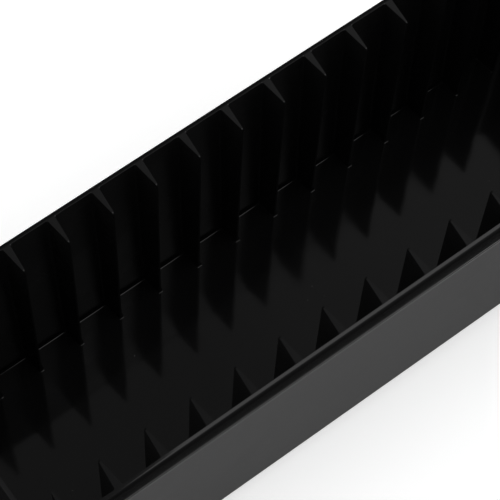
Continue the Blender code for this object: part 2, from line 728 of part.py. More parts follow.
def make_chassis(material):
    """The plate that closes the weight, with a window for each roller and ears that hold the axles."""
    front = weight_front(CHASSIS_TOP, WEIGHT_WALL) + FIT
    rear = WEIGHT_REAR - WEIGHT_WALL - FIT
    outline = [(-CHASSIS_HALF, front), (CHASSIS_HALF, front), (CHASSIS_HALF, rear), (-CHASSIS_HALF, rear)]
    window_half = ROLLER_WIDTH / 2 + ROLLER_SIDE_GAP
    window_reach = ROLLER_RADIUS + ROLLER_SIDE_GAP
    windows = [
        [
            (x - window_half, y - window_reach),
            (x + window_half, y - window_reach),
            (x + window_half, y + window_reach),
            (x - window_half, y + window_reach),
        ]
        for x, y in roller_spots().values()
    ]
    holes = [
        [(x + px, y + py) for px, py in arc((0.0, 0.0), SCREW_HOLE_RADIUS, 0, 360, SMALL_ROUND_STEPS)[:-1]]
        for x, y in chassis_boss_spots()
    ]
    chassis = flat_outline("weight_chassis", [outline, *windows, *holes], CHASSIS_THICKNESS)
    chassis.data.transform(Matrix.Translation((0.0, 0.0, (CHASSIS_BOTTOM + CHASSIS_TOP) / 2)))
    ears = []
    for corner, (x, y) in roller_spots().items():
        for side in (-1, 1):
            near = x + side * window_half
            far = near + side * EAR_THICKNESS
            low = (min(near, far), y - EAR_LENGTH / 2, CHASSIS_BOTTOM + FIT)
            ears.append(box(f"ear_{corner}_{side}", low, (max(near, far), y + EAR_LENGTH / 2, EAR_TOP)))
    reach = CHASSIS_HALF + CUT_MARGIN
    bores = [
        rod(f"{name}_axle_bore", AXLE_RADIUS + FIT, (-reach, y, AXLE_HEIGHT), (reach, y, AXLE_HEIGHT))
        for name, y in (("front", FRONT_AXLE), ("rear", REAR_AXLE))
    ]
    boolean(chassis, "UNION", ears)
    boolean(chassis, "DIFFERENCE", bores)
    return keep(chassis, material)


def make_chassis_screws(material):
    places = [(x, y, CHASSIS_BOTTOM - FIT) for x, y in chassis_boss_spots()]
    return fit_screws("chassis_screw", SCREW_LENGTH, places, (0.0, 0.0, -1.0), material)


def make_slug(material):
    """The steel bar that gives the weight its mass, standing on the chassis ears."""
    low = EAR_TOP + FIT
    outline = weight_outline(low, low + SLUG_HEIGHT, WEIGHT_WALL + FIT)
    slug = side_profile("weight_slug", outline, -CHASSIS_HALF, CHASSIS_HALF)
    bevel(slug, SLUG_EDGE_ROUND, 1)
    return keep(slug, material)


def make_axle(name, y, material):
    axle = rod(name, AXLE_RADIUS, (-CHASSIS_HALF, 0.0, 0.0), (CHASSIS_HALF, 0.0, 0.0))
    axle.location = (0.0, y, AXLE_HEIGHT)
    return keep(axle, material, SMOOTH_ANGLE)


def make_roller(name, x, y, material):
    """A dished roller with rounded edges, turning on its axle."""
    half = ROLLER_WIDTH / 2
    rim = ROLLER_RADIUS - 2 * ROLLER_ROUND
    outside = [
        (AXLE_RADIUS + FIT, half),
        (ROLLER_HUB_RADIUS, half),
        (ROLLER_HUB_RADIUS, half - ROLLER_DISH),
        (rim, half - ROLLER_DISH),
        (rim, half),
        (ROLLER_RADIUS - ROLLER_ROUND, half),
        (ROLLER_RADIUS, half - ROLLER_ROUND),
    ]
    profile = outside + [(radius, -z) for radius, z in reversed(outside)] + [outside[0]]
    roller = turned(name, profile, ROUND_STEPS)
    roller.rotation_euler = (0.0, math.pi / 2, 0.0)
    roller.location = (x, y, AXLE_HEIGHT)
    return keep(roller, material, SMOOTH_ANGLE)


# ---------------------------------------------------------------- assembly


def stand_on_origin():
    """Put the middle of the shoe's footprint at the origin, with its feet on Z = 0."""
    bpy.context.view_layer.update()
    graph = bpy.context.evaluated_depsgraph_get()
    points = []
    for item in SHOE.objects:
        shape = item.evaluated_get(graph)
        points += [shape.matrix_world @ vertex.co for vertex in shape.to_mesh().vertices]
        shape.to_mesh_clear()
    low = [min(point[k] for point in points) for k in range(3)]
    high = [max(point[k] for point in points) for k in range(3)]
    SHOE_FRAME.location = (-(low[0] + high[0]) / 2, -(low[1] + high[1]) / 2, -low[2])
    bpy.context.view_layer.update()


clear_scene()
SHOE = new_collection("card_dealing_shoe")
CUTTERS = new_collection("cutters")
SHOE_FRAME = bpy.data.objects.new("shoe_frame", None)
TROUGH_FRAME = bpy.data.objects.new("trough_frame", None)
WEIGHT_FRAME = bpy.data.objects.new("weight_frame", None)
for empty in (SHOE_FRAME, TROUGH_FRAME, WEIGHT_FRAME):
    CUTTERS.objects.link(empty)
TROUGH_FRAME.parent = SHOE_FRAME
TROUGH_FRAME.location = (0.0, 0.0, FRAME_HEIGHT)
TROUGH_FRAME.rotation_euler = (TILT, 0.0, 0.0)
WEIGHT_FRAME.parent = TROUGH_FRAME

BLACK_PLASTIC = new_material("black_plastic", (0.012, 0.012, 0.013), 0.25, 0.0)
BLACK_SATIN = new_material("black_satin", (0.03, 0.03, 0.032), 0.5, 0.0)
STEEL = new_material("steel", (0.55, 0.55, 0.56), 0.35, 1.0)
ZINC = new_material("zinc", (0.35, 0.35, 0.36), 0.4, 1.0)
NYLON = new_material("nylon", (0.75, 0.75, 0.72), 0.45, 0.0)
RUBBER = new_material("rubber", (0.02, 0.02, 0.02), 0.8, 0.0)

make_tub(BLACK_PLASTIC)
make_exit_plate(STEEL)
make_faceplate(BLACK_PLASTIC)
make_face_screws(ZINC)
make_exit_screws(ZINC)
make_plinth(BLACK_SATIN)
make_plinth_screws(ZINC)
make_feet(RUBBER)

weight_pieces = [
    make_weight_housing(BLACK_SATIN),
    make_chassis(BLACK_SATIN),
    *make_chassis_screws(ZINC),
    make_slug(STEEL),
    make_axle("front_axle", FRONT_AXLE, STEEL),
    make_axle("rear_axle", REAR_AXLE, STEEL),
]
for corner, (roller_x, roller_y) in roller_spots().items():
    weight_pieces.append(make_roller(f"roller_{corner}", roller_x, roller_y, NYLON))
for piece in weight_pieces:
    piece.parent = WEIGHT_FRAME

stand_on_origin()
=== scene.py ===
# %% [markdown]
# # A card dealing shoe
# A dealing shoe is a long black trough that holds several packs of cards on their edges. The trough
# leans forward on a wedge base, a heavy rolling weight pushes the cards to the nose, and the dealer
# draws them out one at a time under a leaning front plate. The solid model already has every piece in
# its place, so this lesson loads it as a fixed frame, and then gives each piece its rounded edges and
# its surface.

# %% Load the frame
import math

import bmesh
import bpy
from mathutils import Matrix, Vector


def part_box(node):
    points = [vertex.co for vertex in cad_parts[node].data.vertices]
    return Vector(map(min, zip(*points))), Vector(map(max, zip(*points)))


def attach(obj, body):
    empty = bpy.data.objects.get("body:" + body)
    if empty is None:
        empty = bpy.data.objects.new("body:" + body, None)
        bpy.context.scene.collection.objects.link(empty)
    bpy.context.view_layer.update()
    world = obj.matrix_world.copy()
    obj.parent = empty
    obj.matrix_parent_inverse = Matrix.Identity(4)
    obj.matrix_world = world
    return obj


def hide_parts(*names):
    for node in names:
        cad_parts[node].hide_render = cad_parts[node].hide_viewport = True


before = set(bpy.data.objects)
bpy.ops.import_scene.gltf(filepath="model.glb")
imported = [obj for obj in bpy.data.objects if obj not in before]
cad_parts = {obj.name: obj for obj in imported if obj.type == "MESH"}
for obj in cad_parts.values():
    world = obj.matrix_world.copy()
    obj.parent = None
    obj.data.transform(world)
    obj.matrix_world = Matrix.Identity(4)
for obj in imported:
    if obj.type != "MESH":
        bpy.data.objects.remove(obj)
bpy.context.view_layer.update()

# %% [markdown]
# ## Lengths that the surfaces need
# The trough is laid out in its own frame, which the base tilts by 4 degrees: X across, Y from the nose
# tip to the rear, Z up from the inside of the floor. A matrix takes points there and back, so that
# edges and finishes can be chosen by plain distances such as "13.5 mm below the rim". The frame's place
# and the two matrices are in metres, as everything in the scene is, and the other lengths are in
# millimetres.

# %% Name the trough's frame and its main sizes
MM = 0.001
TILT = math.radians(4.0)
TROUGH_PLACE = (0.0, -0.236948, 0.006993)
TROUGH = Matrix.Translation(TROUGH_PLACE) @ Matrix.Rotation(TILT, 4, "X")
TO_TROUGH = TROUGH.inverted()
DEPTH = 120.0
LEDGE = 106.5
INNER_HALF_FLOOR = 56.4
INNER_HALF_RIM = 60.0
WALL = 3.8
FLOOR = 3.0
FLOOR_CHAMFER = 1.2
LIP_STEP = 0.9
DRAFT = (INNER_HALF_RIM - INNER_HALF_FLOOR) / DEPTH
RIB_TIP = 45.3
REAR_WALL = 471.6
CORNER = 10.0
FACE_LEAN = math.radians(32.0)
MOUTH_TO_TIP = 30.0


def in_trough(point):
    """A point of the finished object, in the trough's frame and in millimetres."""
    return (TO_TROUGH @ Vector(point)) / MM


def across_wall(place):
    """How far into the wall a point lies: 0 on the inner face, 3.8 mm on the outer one."""
    beside = max(abs(place.x) - DRAFT * place.z - (INNER_HALF_FLOOR + WALL - CORNER), 0.0)
    behind = max(place.y - DRAFT * place.z - (REAR_WALL + WALL - CORNER), 0.0)
    return math.hypot(beside, behind) - (CORNER - WALL)


low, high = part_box("tub")
print("the tub climbs from", round(low.z / MM, 1), "to", round(high.z / MM, 1), "mm over the table")

# %% [markdown]
# ## Camera
# The shoe is seen from high up on its right side, from about a metre away with a long lens, so that
# only the middle of the trough fills the frame and the ribs run across it on a slant. The camera is
# placed by its position and three directions: right, up and backward. The small roll is part of the
# view.

# %% Set the camera
CAMERA_PLACE = Vector((0.303747, -0.309736, 0.983580))
CAMERA_RIGHT = Vector((0.598531, 0.796649, 0.084321))
CAMERA_UP = Vector((-0.735908, 0.505179, 0.450815))
CAMERA_LENS = 153.2

camera_data = bpy.data.cameras.new("view")
camera_data.lens = CAMERA_LENS
camera_data.sensor_width = 36.0
camera_data.clip_end = 20.0
camera = bpy.data.objects.new("view", camera_data)
bpy.context.scene.collection.objects.link(camera)
backward = CAMERA_RIGHT.cross(CAMERA_UP)
turn = Matrix((CAMERA_RIGHT, CAMERA_UP, backward)).transposed()
camera.matrix_world = Matrix.Translation(CAMERA_PLACE) @ turn.to_4x4()
bpy.context.scene.camera = camera
bpy.context.scene.view_settings.view_transform = "Standard"
print("camera looks along", [round(c, 3) for c in -backward])

# %% [markdown]
# ## Helpers for modelling by hand
# Operators act on whatever is selected, so each step starts by selecting one piece only. A piece that
# refines a solid starts as a copy of it. The solid's mesh is loose triangles: merging its points and
# dissolving the flat seams gives back the clean faces that a bevel needs.

# %% Select and copy a piece
MERGE_WITHIN = 0.002
FLAT_WITHIN = 0.6


def select_only(piece):
    """Leave edit mode, and make this piece the only selected and active object."""
    if bpy.context.mode != "OBJECT":
        bpy.ops.object.mode_set(mode="OBJECT")
    bpy.ops.object.select_all(action="DESELECT")
    piece.select_set(True)
    bpy.context.view_layer.objects.active = piece


def solid_copy(node, name):
    """A copy of a solid with merged points and whole flat faces, as the start of a finer piece."""
    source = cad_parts[node]
    piece = bpy.data.objects.new(name, source.data.copy())
    piece.data.name = name
    bpy.context.scene.collection.objects.link(piece)
    select_only(piece)
    bpy.ops.object.mode_set(mode="EDIT")
    bpy.ops.mesh.select_mode(type="VERT")
    bpy.ops.mesh.select_all(action="SELECT")
    bpy.ops.mesh.remove_doubles(threshold=MERGE_WITHIN * MM)
    bpy.ops.mesh.dissolve_limited(angle_limit=math.radians(FLAT_WITHIN), delimit={"NORMAL"})
    bpy.ops.mesh.normals_make_consistent(inside=False)
    bpy.ops.object.mode_set(mode="OBJECT")
    return piece


# %% [markdown]
# ## Rounded edges
# A real edge has its own radius: large where a hand goes, small where a mould allows no more. A Bevel
# modifier limited by weight can do them all at once, because each edge's weight scales the modifier's
# width. The weighted normals afterwards keep flat faces flat and put all of the shading into the
# rounds.

# %% Round the edges of a piece
SMOOTH_BELOW = math.radians(35.0)


def round_edges(piece, radius_of, widest, segments=3):
    """Round each edge by the radius in mm that radius_of(middle, direction, bend, hollow) gives it."""
    mesh = piece.data
    bm = bmesh.new()
    bm.from_mesh(mesh)
    layers = bm.edges.layers.float
    weight = layers.get("bevel_weight_edge") or layers.new("bevel_weight_edge")
    counts = {}
    for edge in bm.edges:
        if len(edge.link_faces) != 2:
            continue
        bend = edge.calc_face_angle_signed(0.0)
        a, b = (in_trough(vertex.co) for vertex in edge.verts)
        radius = radius_of((a + b) / 2, (b - a).normalized(), abs(math.degrees(bend)), bend < 0)
        edge[weight] = radius / widest
        counts[radius] = counts.get(radius, 0) + 1
    bm.to_mesh(mesh)
    bm.free()
    select_only(piece)
    rounding = piece.modifiers.new("rounded_edges", "BEVEL")
    rounding.limit_method = "WEIGHT"
    rounding.width = widest * MM
    rounding.segments = segments
    rounding.use_clamp_overlap = False
    bpy.ops.object.modifier_apply(modifier=rounding.name)
    bpy.ops.object.shade_smooth_by_angle(angle=SMOOTH_BELOW)
    shading = piece.modifiers.new("flat_faces_stay_flat", "WEIGHTED_NORMAL")
    shading.keep_sharp = True
    bpy.ops.object.modifier_apply(modifier=shading.name)
    print(piece.name, "has", len(mesh.polygons), "faces")
    print("edges by their radius in mm:", dict(sorted(counts.items())))


# %% [markdown]
# ## The trough moulding
# The trough is one deep injection moulding. Its mould cannot be cut with perfectly sharp corners, so
# every edge has a small radius, and these radii are what catch the light on black plastic. The large
# round on the outside of the rim is already in the solid. Of the others, the top corner of each rib's
# tip and the root where a rib leaves the wall are rounded most. The ledge and the floor's fillet come
# next, and the inner edge of the rim, the rib tops and the rib tips are barely rounded, because they
# are thin. Radii and distances are in millimetres, and bends in degrees.

# %% Choose the trough's radii
SHARP_BEND = 25.0
UPRIGHT = 0.9
AT_LEVEL = 0.1
AT_TIP = 1.0
AT_WALL = -0.5
CLEAR_OF_NOSE = 12.0
ROOT_FROM_TIP = 5.0
WIDEST_ROUND = 1.2
RIM_INNER_ROUND = 0.1
RIB_TOP_ROUND = 0.15
RIB_TIP_ROUND = 0.12
RIB_CORNER_ROUND = 1.2
RIB_ROOT_ROUND = 1.2
LEDGE_ROUND = 0.3
FLOOR_ROUND = 0.3
PLAIN_ROUND = 0.3


def trough_radius(middle, direction, bend, hollow):
    """The radius of one edge of the trough, by its place. Bends too slight to be an edge get none."""
    x, y, z = abs(middle.x), middle.y, middle.z
    upright = abs(direction.z) > UPRIGHT
    at_tip = abs(x - RIB_TIP) < AT_TIP
    if bend < SHARP_BEND or y < MOUTH_TO_TIP + z * math.tan(FACE_LEAN) + CLEAR_OF_NOSE:
        return 0.0
    if z > DEPTH - AT_LEVEL:
        if at_tip:
            return RIB_CORNER_ROUND
        return RIM_INNER_ROUND if across_wall(middle) > AT_WALL else RIB_TOP_ROUND
    if abs(z - LEDGE) < AT_LEVEL:
        return LEDGE_ROUND
    if z < FLOOR_CHAMFER + AT_LEVEL:
        return FLOOR_ROUND
    if upright and at_tip:
        return RIB_TIP_ROUND
    if upright and hollow and x > RIB_TIP + ROOT_FROM_TIP:
        return RIB_ROOT_ROUND
    return PLAIN_ROUND


print("the trough's edges get radii from", RIM_INNER_ROUND, "to", WIDEST_ROUND, "mm")

# %% Round the trough's edges
trough = solid_copy("tub", "trough_moulding")
print("clean copy:", len(trough.data.vertices), "points,", len(trough.data.polygons), "faces")
round_edges(trough, trough_radius, WIDEST_ROUND)
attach(trough, "shoe_body")
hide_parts("tub")

# %% [markdown]
# ## Front plate, card slide, wedge base and weight cover
# These pieces need only their edges eased. The front plate is cut from sheet, so its edges are nearly
# sharp, and the steel card slide has only its burr taken off. The wedge base and the weight's cover are
# mouldings like the trough, with rounder edges where hands go.

# %% Give every sharp edge one radius
def eased(radius):
    """A radius_of for round_edges that gives every sharp edge the same radius."""
    return lambda middle, direction, bend, hollow: radius if bend > SHARP_BEND else 0.0


def eased_copy(node, name, body, radius, segments=2):
    """A copy of a solid with all its sharp edges eased, which stands for the solid."""
    piece = solid_copy(node, name)
    round_edges(piece, eased(radius), radius, segments)
    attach(piece, body)
    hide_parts(node)
    return piece


# %% Ease the front plate, the card slide, the base and the cover
SHEET_EDGE = 0.35
STEEL_EDGE = 0.15
MOULDED_EDGE = 0.4

front_plate = eased_copy("faceplate", "front_plate", "shoe_body", SHEET_EDGE, 3)
card_slide = eased_copy("exit_plate", "card_slide", "shoe_body", STEEL_EDGE)
wedge_base = eased_copy("plinth", "wedge_base", "shoe_body", MOULDED_EDGE)
weight_cover = eased_copy(
    "weight_housing", "weight_cover", "weight", MOULDED_EDGE, 3
)

# %% [markdown]
# ## Screws
# Every screw is the same pan head with a cross recess, in three lengths. One screw is modelled from a
# cylinder: its top rim is bevelled into a dome, the shank is drawn out of the underside, and a tapered
# cross cuts the recess. Copies of its mesh then take the place and direction of each solid screw. The
# operators work on what is selected, so two helpers select faces and edges by their place or direction.

# %% Select by place
FACING = 0.9
NEAR = 0.01
OUTER_PART = 0.9


def faces_where(piece, test):
    """Select only the faces whose centre and normal pass a test, and leave the piece in edit mode."""
    select_only(piece)
    bpy.ops.object.mode_set(mode="EDIT")
    bpy.ops.mesh.select_mode(type="FACE")
    bpy.ops.mesh.select_all(action="DESELECT")
    mesh = bmesh.from_edit_mesh(piece.data)
    for face in mesh.faces:
        face.select_set(test(face.calc_center_median(), face.normal))
    bmesh.update_edit_mesh(piece.data)


def edges_where(piece, test):
    """Select only the edges whose two ends pass a test, and leave the piece in edit mode."""
    select_only(piece)
    bpy.ops.object.mode_set(mode="EDIT")
    bpy.ops.mesh.select_mode(type="EDGE")
    bpy.ops.mesh.select_all(action="DESELECT")
    mesh = bmesh.from_edit_mesh(piece.data)
    for edge in mesh.edges:
        edge.select_set(all(test(vertex.co) for vertex in edge.verts))
    bmesh.update_edit_mesh(piece.data)


def settle(piece):
    """Put a primitive's place and size into its mesh."""
    select_only(piece)
    bpy.ops.object.transform_apply(location=True, rotation=True, scale=True)


def new_cylinder(name, sides, radius, height):
    """An upright cylinder that stands on the origin, in metres. Returns the piece."""
    bpy.ops.object.select_all(action="DESELECT")
    bpy.ops.mesh.primitive_cylinder_add(
        vertices=sides, radius=radius, depth=height, location=(0.0, 0.0, height / 2)
    )
    piece = bpy.context.active_object
    piece.name = name
    settle(piece)
    return piece


def pull(x=0.0, y=0.0, z=0.0):
    """Extrude the selected faces by a distance in millimetres."""
    bpy.ops.mesh.extrude_region_move(TRANSFORM_OT_translate={"value": (x * MM, y * MM, z * MM)})


# %% Model the head and the shank
HEAD_RADIUS = 2.78
HEAD_HEIGHT = 1.75
HEAD_DOME = 1.1
SHANK_RADIUS = 1.18
SHANK_LENGTH = 8.0
POINT_LENGTH = 0.7
POINT_TAPER = 0.35

screw = new_cylinder("pan_screw", 32, HEAD_RADIUS * MM, HEAD_HEIGHT * MM)
near_rim = HEAD_RADIUS * OUTER_PART * MM
edges_where(screw, lambda co: co.z > (HEAD_HEIGHT - NEAR) * MM and co.xy.length > near_rim)
bpy.ops.mesh.bevel(offset=HEAD_DOME * MM, segments=5, profile=0.5)
faces_where(screw, lambda centre, normal: normal.z < -FACING)
bpy.ops.mesh.inset(thickness=(HEAD_RADIUS - SHANK_RADIUS) * MM)
pull(z=POINT_LENGTH - SHANK_LENGTH)
pull(z=-POINT_LENGTH)
bpy.ops.transform.resize(value=(POINT_TAPER, POINT_TAPER, 1.0))
bpy.ops.object.mode_set(mode="OBJECT")
print("screw blank:", [round(side / MM, 2) for side in screw.dimensions], "mm")

# %% Cut the cross recess
RECESS_LENGTH = 3.0
RECESS_WIDTH = 0.75
RECESS_DEPTH = 1.15
RECESS_TAPER = 0.45

bpy.ops.object.select_all(action="DESELECT")
bpy.ops.mesh.primitive_cube_add(size=RECESS_WIDTH * MM, location=(0.0, 0.0, HEAD_HEIGHT * MM))
cross = bpy.context.active_object
cross.name = "cross_cutter"
settle(cross)
arm = (RECESS_LENGTH - RECESS_WIDTH) / 2
for side in (-1.0, 1.0):
    faces_where(cross, lambda centre, normal: normal.x * side > FACING and abs(centre.y) < NEAR * MM)
    pull(x=side * arm)
for side in (-1.0, 1.0):
    faces_where(cross, lambda centre, normal: normal.y * side > FACING and abs(centre.x) < NEAR * MM)
    pull(y=side * arm)
faces_where(cross, lambda centre, normal: normal.z < -FACING)
bpy.ops.transform.translate(value=(0.0, 0.0, (RECESS_WIDTH / 2 - RECESS_DEPTH) * MM))
bpy.ops.transform.resize(value=(RECESS_TAPER, RECESS_TAPER, 1.0))
bpy.ops.object.mode_set(mode="OBJECT")
recess = screw.modifiers.new("recess", "BOOLEAN")
recess.operation = "DIFFERENCE"
recess.solver = "EXACT"
recess.object = cross
select_only(screw)
bpy.ops.object.modifier_apply(modifier=recess.name)
bpy.data.objects.remove(cross)
print("pan screw:", len(screw.data.polygons), "faces")

# %% [markdown]
# ## Setting the screws
# A solid screw tells where its own copy goes: its reach along its axis gives the seat and the length,
# and its middle gives the axis. The point of the shank is moved to suit that length. Each screw is
# turned by an odd angle more than the last, because no one lines up the recesses when a shoe is put
# together.

# %% Copy the screw into one place
KEEP_INSIDE = 0.02
UNDER_HEAD = -1.0
SCREW_SMOOTH_BELOW = math.radians(30.0)


def span(points, axis):
    """The lowest and highest reach of points along an axis."""
    reaches = [point.dot(axis) for point in points]
    return min(reaches), max(reaches)


def set_screw(node, outward, body, turn):
    """A copy of the screw in the place of one solid screw, turned by its own amount about its axis."""
    up = (TROUGH.to_3x3() @ outward).normalized()
    side = up.orthogonal().normalized()
    back = up.cross(side)
    points = [vertex.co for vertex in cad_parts[node].data.vertices]
    low, high = span(points, up)
    middle = sum((sum(span(points, axis)) / 2 * axis for axis in (side, back)), Vector())
    seat = middle + up * (high - HEAD_HEIGHT * MM)
    mesh = screw.data.copy()
    shorter = SHANK_LENGTH * MM - (high - low - HEAD_HEIGHT * MM) + KEEP_INSIDE * MM
    for vertex in mesh.vertices:
        if vertex.co.z < UNDER_HEAD * MM:
            vertex.co.z += shorter
    axes = Matrix((side, back, up)).transposed().to_4x4()
    mesh.transform(Matrix.Translation(seat) @ axes @ Matrix.Rotation(turn, 4, "Z"))
    piece = bpy.data.objects.new("pan_" + node, mesh)
    bpy.context.scene.collection.objects.link(piece)
    select_only(piece)
    bpy.ops.object.shade_smooth_by_angle(angle=SCREW_SMOOTH_BELOW)
    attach(piece, body)
    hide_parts(node)
    return piece


# %% Set all the screws
TURN_EACH = math.radians(53.0)
FACE_OUT = Vector((0.0, -math.cos(FACE_LEAN), math.sin(FACE_LEAN)))
UP = Vector((0.0, 0.0, 1.0))
SCREW_SETS = {
    "face_screw": (FACE_OUT, 4, "shoe_body"),
    "exit_screw": (UP, 2, "shoe_body"),
    "plinth_screw": (-UP, 6, "shoe_body"),
    "chassis_screw": (-UP, 4, "weight"),
}

screws = []
for name, (outward, count, body) in SCREW_SETS.items():
    for number in range(1, count + 1):
        screws.append(set_screw(f"{name}_{number}", outward, body, TURN_EACH * len(screws)))
bpy.data.objects.remove(screw)
print(len(screws), "screws set")

# %% [markdown]
# ## Feet
# Each foot is a round rubber button in a shallow seat. Its lower edge is rounded, and a dimple in the
# underside leaves a ring that grips the table.

# %% Model one foot
FOOT_DIMPLE = 0.5
FOOT_RING = 0.45
DIMPLE_TAPER = 0.85
FOOT_EDGE = 0.8

low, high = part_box("foot_front_left")
foot_radius = (high.x - low.x) / 2 - KEEP_INSIDE * MM
foot_height = high.z - low.z
button = new_cylinder("rubber_button", 64, foot_radius, foot_height)
faces_where(button, lambda centre, normal: normal.z < -FACING)
bpy.ops.mesh.inset(thickness=foot_radius * FOOT_RING)
pull(z=FOOT_DIMPLE)
bpy.ops.transform.resize(value=(DIMPLE_TAPER, DIMPLE_TAPER, 1.0))
edges_where(button, lambda co: co.z < NEAR * MM and co.xy.length > foot_radius * OUTER_PART)
bpy.ops.mesh.bevel(offset=FOOT_EDGE * MM, segments=4, profile=0.5)
bpy.ops.object.mode_set(mode="OBJECT")
print("foot:", round(2 * foot_radius / MM, 1), "mm across,", round(foot_height / MM, 1), "mm high")

# %% Set the four feet
feet = []
for corner in ("front_left", "front_right", "rear_left", "rear_right"):
    node = "foot_" + corner
    low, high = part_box(node)
    mesh = button.data.copy()
    mesh.transform(Matrix.Translation(((low.x + high.x) / 2, (low.y + high.y) / 2, low.z)))
    piece = bpy.data.objects.new("rubber_" + node, mesh)
    bpy.context.scene.collection.objects.link(piece)
    select_only(piece)
    bpy.ops.object.shade_smooth_by_angle(angle=SMOOTH_BELOW)
    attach(piece, "shoe_body")
    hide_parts(node)
    feet.append(piece)
bpy.data.objects.remove(button)
print(len(feet), "feet set")

# %% [markdown]
# ## Helpers for shader nodes
# The studio, the floor and the materials are all node trees, so a few short functions add nodes by name
# and link them. A Map Range node turns one range of a value into another and is used wherever a soft
# threshold is wanted.

# %% Add, map and calculate
def add_node(tree, kind, **settings):
    """A node of one kind, with its properties set by name."""
    node = tree.nodes.new(kind)
    for name, value in settings.items():
        setattr(node, name, value)
    return node


def map_range(tree, value, from_range, to_range=(0.0, 1.0), smooth=True):
    """Map one range of a value to another, and stay inside it. With one range it makes a mask."""
    node = add_node(tree, "ShaderNodeMapRange", interpolation_type="SMOOTHSTEP" if smooth else "LINEAR")
    for name, number in zip(("From Min", "From Max", "To Min", "To Max"), (*from_range, *to_range)):
        node.inputs[name].default_value = number
    tree.links.new(value, node.inputs["Value"])
    return node.outputs["Result"]


def calculate(tree, operation, *terms):
    """A Math node on sockets or plain numbers."""
    node = add_node(tree, "ShaderNodeMath", operation=operation)
    for socket, term in zip(node.inputs, terms):
        if isinstance(term, (int, float)):
            socket.default_value = term
        else:
            tree.links.new(term, socket)
    return node.outputs["Value"]


# %% [markdown]
# ## Studio
# Black gloss plastic has almost no colour of its own: what shows is what it mirrors. The studio is a
# large soft lamp overhead and to the right, and a dim grey room round it. Surfaces that face straight
# up mirror the dim ceiling beside the lamp and stay dark, while every rounded edge that leans to the
# right mirrors the lamp and draws a bright line. Light Path gives each kind of ray its own world: the
# camera sees white, mirrored rays see the dim room, and the light that falls on the object stays at a
# plain level. The room is four changes along the parts of a ray's direction, each written as where it
# starts and ends and the levels at those two ends. They are multiplied: a rise to the ceiling, a rise
# from the nose to the rear, a dark wall on the left, and a slightly lighter strip where that wall meets
# the ceiling.

# %% Build the world
PLAIN_LEVEL = 0.85
CEILING = ((0.2, 0.8), (0.06, 0.225))
TO_THE_REAR = ((0.15, 0.5), (0.65, 1.6))
LEFT_WALL = ((-0.7, -0.4), (0.3, 1.0))
LIGHTER_STRIP = ((-0.4, -0.25), (1.2, 0.97))

world = bpy.data.worlds.new("studio")
bpy.context.scene.world = world
world.use_nodes = True
room = world.node_tree
direction = add_node(room, "ShaderNodeTexCoord").outputs["Generated"]
split = add_node(room, "ShaderNodeSeparateXYZ")
room.links.new(direction, split.inputs["Vector"])
mirrored = map_range(room, split.outputs["Z"], *CEILING)
rearward = map_range(room, split.outputs["Y"], *TO_THE_REAR, smooth=False)
ray = add_node(room, "ShaderNodeLightPath")
leftward = map_range(room, split.outputs["X"], *LEFT_WALL)
strip = map_range(room, split.outputs["X"], *LIGHTER_STRIP)
for factor in (rearward, leftward, strip):
    mirrored = calculate(room, "MULTIPLY", mirrored, factor)
kinds = add_node(room, "ShaderNodeMix")
kinds.inputs["A"].default_value = PLAIN_LEVEL
room.links.new(ray.outputs["Is Glossy Ray"], kinds.inputs["Factor"])
room.links.new(mirrored, kinds.inputs["B"])
seen = add_node(room, "ShaderNodeMix")
seen.inputs["B"].default_value = 1.0
room.links.new(ray.outputs["Is Camera Ray"], seen.inputs["Factor"])
room.links.new(kinds.outputs["Result"], seen.inputs["A"])
background = room.nodes["Background"]
background.inputs["Color"].default_value = (1.0, 1.0, 1.0, 1.0)
room.links.new(seen.outputs["Result"], background.inputs["Strength"])
print("world: plain level", PLAIN_LEVEL, "and a mirrored ceiling of", CEILING[1])

# %% Hang the soft lamp
LAMP_WIDTH = 1.24
LAMP_LENGTH = 1.4
LAMP_PLACE = (0.43, 0.75, 1.25)
LAMP_RADIANCE = 0.97

lamp_data = bpy.data.lights.new("soft_lamp", "AREA")
lamp_data.shape = "RECTANGLE"
lamp_data.size = LAMP_WIDTH
lamp_data.size_y = LAMP_LENGTH
lamp_data.energy = LAMP_RADIANCE * math.pi * LAMP_WIDTH * LAMP_LENGTH
lamp = bpy.data.objects.new("soft_lamp", lamp_data)
lamp.location = LAMP_PLACE
bpy.context.scene.collection.objects.link(lamp)
print("soft lamp:", round(lamp_data.energy, 1), "W over", LAMP_WIDTH, "x", LAMP_LENGTH, "m")

# %% [markdown]
# ## Floor
# The floor is matt white paper that keeps the object's shadow. For the camera alone a little glow lifts
# it to white. In mirrored rays it is dark, as if black cards lay beside the object, which keeps the
# sides of a black gloss piece black.

# %% Lay the floor
FLOOR_SIDE = 8.0
PAPER_GREY = 0.8
FLOOR_GLOW = 0.4
FLOOR_MIRRORED = 0.022

bpy.ops.object.select_all(action="DESELECT")
bpy.ops.mesh.primitive_plane_add(size=FLOOR_SIDE, location=(0.0, 0.0, 0.0))
floor = bpy.context.active_object
floor.name = "floor"
paper = bpy.data.materials.new("white_paper")
paper.use_nodes = True
tree = paper.node_tree
matt = tree.nodes["Principled BSDF"]
matt.inputs["Base Color"].default_value = (PAPER_GREY, PAPER_GREY, PAPER_GREY, 1.0)
matt.inputs["Roughness"].default_value = 1.0
matt.inputs["Specular IOR Level"].default_value = 0.0
matt.inputs["Emission Color"].default_value = (1.0, 1.0, 1.0, 1.0)
ray = add_node(tree, "ShaderNodeLightPath")
glow = calculate(tree, "MULTIPLY", ray.outputs["Is Camera Ray"], FLOOR_GLOW)
tree.links.new(glow, matt.inputs["Emission Strength"])
card = add_node(tree, "ShaderNodeEmission")
card.inputs["Strength"].default_value = FLOOR_MIRRORED
choice = add_node(tree, "ShaderNodeMixShader")
tree.links.new(ray.outputs["Is Glossy Ray"], choice.inputs["Fac"])
tree.links.new(matt.outputs["BSDF"], choice.inputs[1])
tree.links.new(card.outputs["Emission"], choice.inputs[2])
